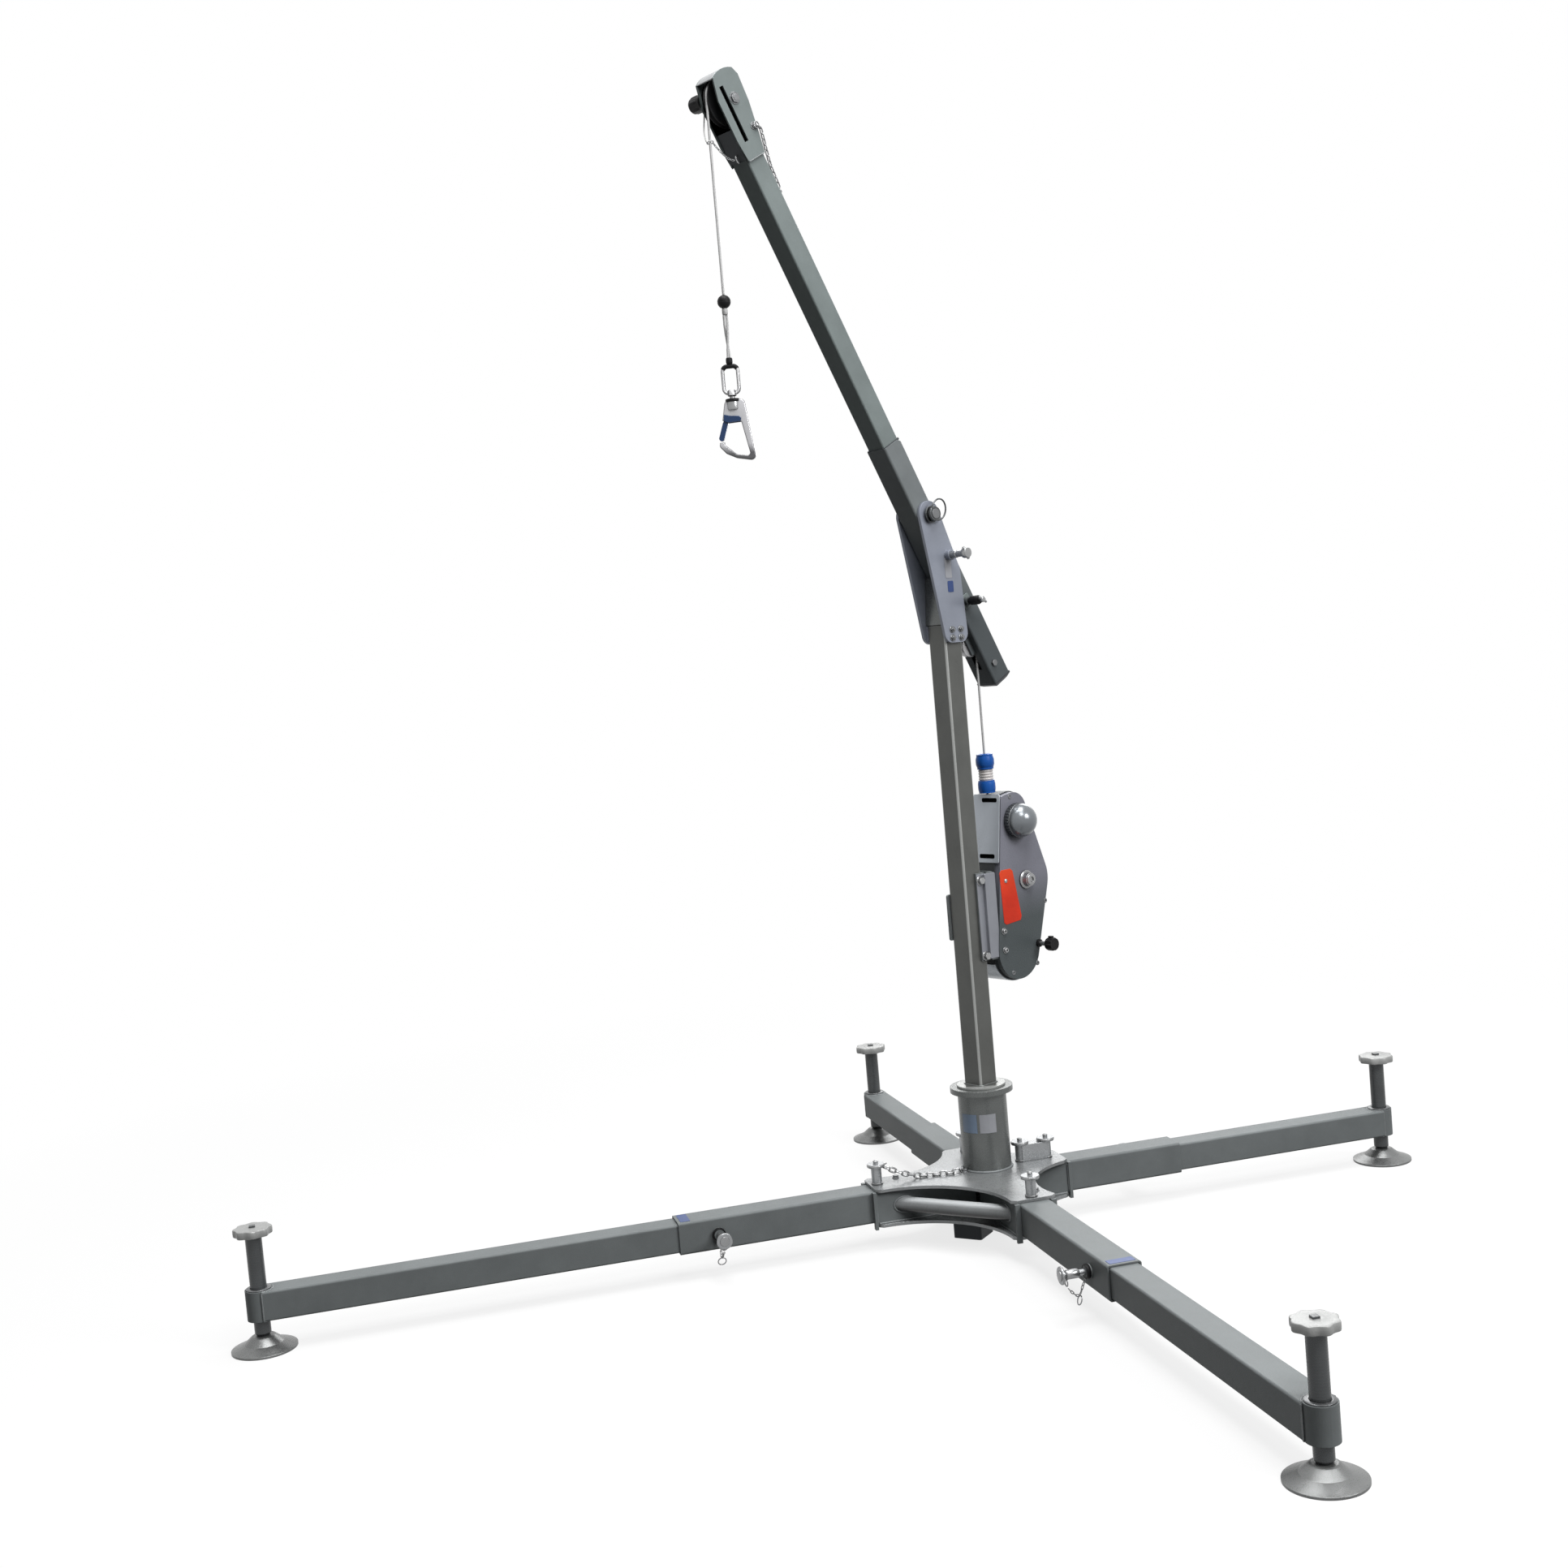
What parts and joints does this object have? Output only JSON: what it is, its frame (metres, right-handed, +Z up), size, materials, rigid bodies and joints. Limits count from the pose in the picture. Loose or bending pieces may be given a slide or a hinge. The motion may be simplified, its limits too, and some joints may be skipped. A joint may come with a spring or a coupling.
{
  "type": "davit crane",
  "caption": "Portable davit crane: telescopic cross base on screw jacks, swivel mast, luffing telescopic boom with pulleys, lifeline block and snap hook.",
  "frame": {"origin": "centre of the bounding box on the floor, under the foot pads", "axes": "+X the way the boom points over the load, +Z up, +Y to the boom's left side, which carries the pins' handles"},
  "size_m": [2.8146, 2.4988, 2.8423],
  "materials": {
    "frame_steel": "satin metallic grey",
    "brace_steel": "bright zinc plate",
    "plate_aluminium": "satin",
    "pad_aluminium": "cast, machined rim",
    "screw_steel": "dark oiled steel",
    "zinc_pin": "bright zinc plate",
    "block_paint": "satin grey",
    "drum_aluminium": "machined",
    "black_plastic": "matt",
    "blue_plastic": "gloss",
    "bush_plastic": "plain",
    "cable_wire": "stranded"
  },
  "bodies": {
    "base": {"hub_top_plate": "frame_steel", "hub_bottom_plate": "frame_steel", "hub_arms": "frame_steel", "mast_sleeve": "frame_steel", "sleeve_bushes": "bush_plastic", "hub_brace": "brace_steel", "skid_box": "frame_steel", "leg_outer_tubes": "frame_steel"},
    "mast": {"mast_tube": "frame_steel", "head_plates": "plate_aluminium", "plate_bolts": "brace_steel", "block_bracket": "plate_aluminium", "block_case": "block_paint", "block_cover": "block_paint", "cable_bumpers": "blue_plastic", "cable_run": "cable_wire"},
    "boom": {"boom_outer": "frame_steel", "boom_tail_cap": "black_plastic", "tail_bolts": "brace_steel", "boom_pivots": "brace_steel", "cable_boom": "cable_wire"},
    "boom_extension": {"boom_inner": "frame_steel", "head_cheeks": "frame_steel", "head_hood": "brace_steel", "head_rollers": "brace_steel"},
    "rope_hang": {"cable_drop": "cable_wire"},
    "line_end": {"rope_end": "brace_steel", "hook_eye": "brace_steel"},
    "hook": {"hook_body": "brace_steel"},
    "gate": {"hook_gate": "blue_plastic"},
    "drum": {"cable_drum": "drum_aluminium"},
    "knob": {"hand_knob": "drum_aluminium"},
    "selector": {"lock_selector": "black_plastic"},
    "tail_wheel": {"tail_pulley": "drum_aluminium"},
    "head_wheel": {"head_pulley": "drum_aluminium"},
    "plunger": {"boom_plunger": "brace_steel"},
    "extension_lock": {"extension_pin": "black_plastic"},
    "keeper": {"keeper_pin": "black_plastic"},
    "leg_fl": {"leg_inner_fl": "frame_steel"},
    "pad_fl": {"foot_pad_fl": "pad_aluminium"},
    "screw_fl": {"jack_screw_fl": "screw_steel"},
    "lock_fl": {"leg_pin_fl": "zinc_pin"},
    "hubpin_fl": {"hub_pin_fl": "zinc_pin"},
    "leg_fr": {"leg_inner_fr": "frame_steel"},
    "pad_fr": {"foot_pad_fr": "pad_aluminium"},
    "screw_fr": {"jack_screw_fr": "screw_steel"},
    "lock_fr": {"leg_pin_fr": "zinc_pin"},
    "hubpin_fr": {"hub_pin_fr": "zinc_pin"},
    "leg_br": {"leg_inner_br": "frame_steel"},
    "pad_br": {"foot_pad_br": "pad_aluminium"},
    "screw_br": {"jack_screw_br": "screw_steel"},
    "lock_br": {"leg_pin_br": "zinc_pin"},
    "hubpin_br": {"hub_pin_br": "zinc_pin"},
    "leg_bl": {"leg_inner_bl": "frame_steel"},
    "pad_bl": {"foot_pad_bl": "pad_aluminium"},
    "screw_bl": {"jack_screw_bl": "screw_steel"},
    "lock_bl": {"leg_pin_bl": "zinc_pin"},
    "hubpin_bl": {"hub_pin_bl": "zinc_pin"}
  },
  "joints": [
    {"name": "mast_swivel", "type": "hinge", "parent": "base", "child": "mast", "pos_m": [-0.30688, -0.28431, 0.369], "axis": [0, 0, 1], "continuous": true},
    {"name": "boom_luff", "type": "hinge", "parent": "mast", "child": "boom", "pos_m": [-0.24488, -0.28431, 1.822], "axis": [0, 1, 0], "range_deg": [0, 55], "deforming": ["cable_run"]},
    {"name": "boom_extend", "type": "slide", "parent": "boom", "child": "boom_extension", "axis": [0.4772, 0, 0.8788], "range_m": [0, 0.3], "deforming": ["cable_boom"]},
    {"name": "drum_spin", "type": "hinge", "parent": "mast", "child": "drum", "pos_m": [-0.48153, -0.28431, 0.878], "axis": [0, 1, 0], "range_deg": [-1480, 250]},
    {"name": "hook_swivel", "type": "hinge", "parent": "line_end", "child": "hook", "pos_m": [0.314, -0.28431, 2.099], "axis": [0, 0, 1], "continuous": true},
    {"name": "hook_gate", "type": "hinge", "parent": "hook", "child": "gate", "pos_m": [0.32602, -0.29634, 2.058], "axis": [0.7071, 0.7071, 0], "range_deg": [0, 26], "stiffness_Nm_per_rad": 0.1, "springref_deg": -17.19},
    {"name": "boom_plunger", "type": "slide", "parent": "mast", "child": "plunger", "axis": [0, 1, 0], "range_m": [-0.0057, 0]},
    {"name": "extension_pin", "type": "slide", "parent": "boom", "child": "extension_lock", "axis": [0, 1, 0], "range_m": [-0.0065, 0]},
    {"name": "keeper_pin", "type": "slide", "parent": "boom_extension", "child": "keeper", "axis": [0, -1, 0], "range_m": [0, 0.02]},
    {"name": "selector_turn", "type": "hinge", "parent": "mast", "child": "selector", "pos_m": [-0.51188, -0.28431, 0.706], "axis": [0, 1, 0], "range_deg": [0, 60]},
    {"name": "rope_hang", "type": "hinge", "parent": "boom_extension", "child": "rope_hang", "pos_m": [0.258, -0.28431, 2.77333], "axis": [0, 1, 0], "range_deg": [-56, 1]},
    {"name": "hoist", "type": "slide", "parent": "rope_hang", "child": "line_end", "axis": [0, 0, 1], "range_m": [-1.74, 0.3], "deforming": ["cable_drop"]},
    {"name": "knob_spin", "type": "hinge", "parent": "mast", "child": "knob", "pos_m": [-0.46088, -0.28431, 1.034], "axis": [0, 1, 0], "range_deg": [-4450, 760]},
    {"name": "head_pulley_spin", "type": "hinge", "parent": "boom_extension", "child": "head_wheel", "pos_m": [0.258, -0.28431, 2.77333], "axis": [0, 1, 0], "range_deg": [-310, 1790]},
    {"name": "tail_pulley_spin", "type": "hinge", "parent": "boom", "child": "tail_wheel", "pos_m": [-0.38853, -0.28431, 1.49036], "axis": [0, 1, 0], "range_deg": [-660, 3830]},
    {"name": "leg_extend_fl", "type": "slide", "parent": "base", "child": "leg_fl", "axis": [-0.9026, 0.4305, 0], "range_m": [0, 0.29]},
    {"name": "leg_extend_fr", "type": "slide", "parent": "base", "child": "leg_fr", "axis": [-0.4305, -0.9026, 0], "range_m": [0, 0.29]},
    {"name": "leg_extend_br", "type": "slide", "parent": "base", "child": "leg_br", "axis": [0.9026, -0.4305, 0], "range_m": [0, 0.13]},
    {"name": "leg_extend_bl", "type": "slide", "parent": "base", "child": "leg_bl", "axis": [0.4305, 0.9026, 0], "range_m": [0, 0.13]},
    {"name": "jack_turn_fl", "type": "hinge", "parent": "pad_fl", "child": "screw_fl", "pos_m": [1.33131, -1.06569, 0.278], "axis": [0, 0, 1], "range_deg": [-3600, 1440]},
    {"name": "jack_turn_fr", "type": "hinge", "parent": "pad_fr", "child": "screw_fr", "pos_m": [0.3884, 1.17336, 0.278], "axis": [0, 0, 1], "range_deg": [-3600, 1440]},
    {"name": "jack_turn_br", "type": "hinge", "parent": "pad_br", "child": "screw_br", "pos_m": [-1.33131, 0.20432, 0.278], "axis": [0, 0, 1], "range_deg": [-3600, 1440]},
    {"name": "jack_turn_bl", "type": "hinge", "parent": "pad_bl", "child": "screw_bl", "pos_m": [-0.73093, -1.17336, 0.278], "axis": [0, 0, 1], "range_deg": [-3600, 1440]},
    {"name": "jack_lift_fl", "type": "slide", "parent": "leg_fl", "child": "pad_fl", "axis": [0, 0, 1], "range_m": [-0.0605, 0.0242]},
    {"name": "jack_lift_fr", "type": "slide", "parent": "leg_fr", "child": "pad_fr", "axis": [0, 0, 1], "range_m": [-0.0605, 0.0242]},
    {"name": "jack_lift_br", "type": "slide", "parent": "leg_br", "child": "pad_br", "axis": [0, 0, 1], "range_m": [-0.0605, 0.0242]},
    {"name": "jack_lift_bl", "type": "slide", "parent": "leg_bl", "child": "pad_bl", "axis": [0, 0, 1], "range_m": [-0.0605, 0.0242]},
    {"name": "leg_pin_fl", "type": "slide", "parent": "base", "child": "lock_fl", "axis": [0.4305, 0.9026, 0], "range_m": [-0.012, 0]},
    {"name": "leg_pin_fr", "type": "slide", "parent": "base", "child": "lock_fr", "axis": [0.9026, -0.4305, 0], "range_m": [-0.012, 0]},
    {"name": "leg_pin_br", "type": "slide", "parent": "base", "child": "lock_br", "axis": [-0.4305, -0.9026, 0], "range_m": [-0.012, 0]},
    {"name": "leg_pin_bl", "type": "slide", "parent": "base", "child": "lock_bl", "axis": [-0.9026, 0.4305, 0], "range_m": [-0.012, 0]},
    {"name": "hub_pin_fl", "type": "slide", "parent": "base", "child": "hubpin_fl", "axis": [0, 0, 1], "range_m": [0, 0.11]},
    {"name": "hub_pin_fr", "type": "slide", "parent": "base", "child": "hubpin_fr", "axis": [0, 0, 1], "range_m": [0, 0.11]},
    {"name": "hub_pin_br", "type": "slide", "parent": "base", "child": "hubpin_br", "axis": [0, 0, 1], "range_m": [0, 0.11]},
    {"name": "hub_pin_bl", "type": "slide", "parent": "base", "child": "hubpin_bl", "axis": [0, 0, 1], "range_m": [0, 0.11]}
  ],
  "couplings": [
    {"joint": "rope_hang", "follows": "boom_luff", "ratio": -1},
    {"joint": "hoist", "follows": "drum_spin", "m_per_rad": 0.067},
    {"joint": "knob_spin", "follows": "drum_spin", "ratio": 3},
    {"joint": "head_pulley_spin", "follows": "drum_spin", "ratio": -1.1964},
    {"joint": "tail_pulley_spin", "follows": "drum_spin", "ratio": -2.5769},
    {"joint": "jack_lift_fl", "follows": "jack_turn_fl", "m_per_rad": 0.00095493},
    {"joint": "jack_lift_fr", "follows": "jack_turn_fr", "m_per_rad": 0.00095493},
    {"joint": "jack_lift_br", "follows": "jack_turn_br", "m_per_rad": 0.00095493},
    {"joint": "jack_lift_bl", "follows": "jack_turn_bl", "m_per_rad": 0.00095493}
  ]
}
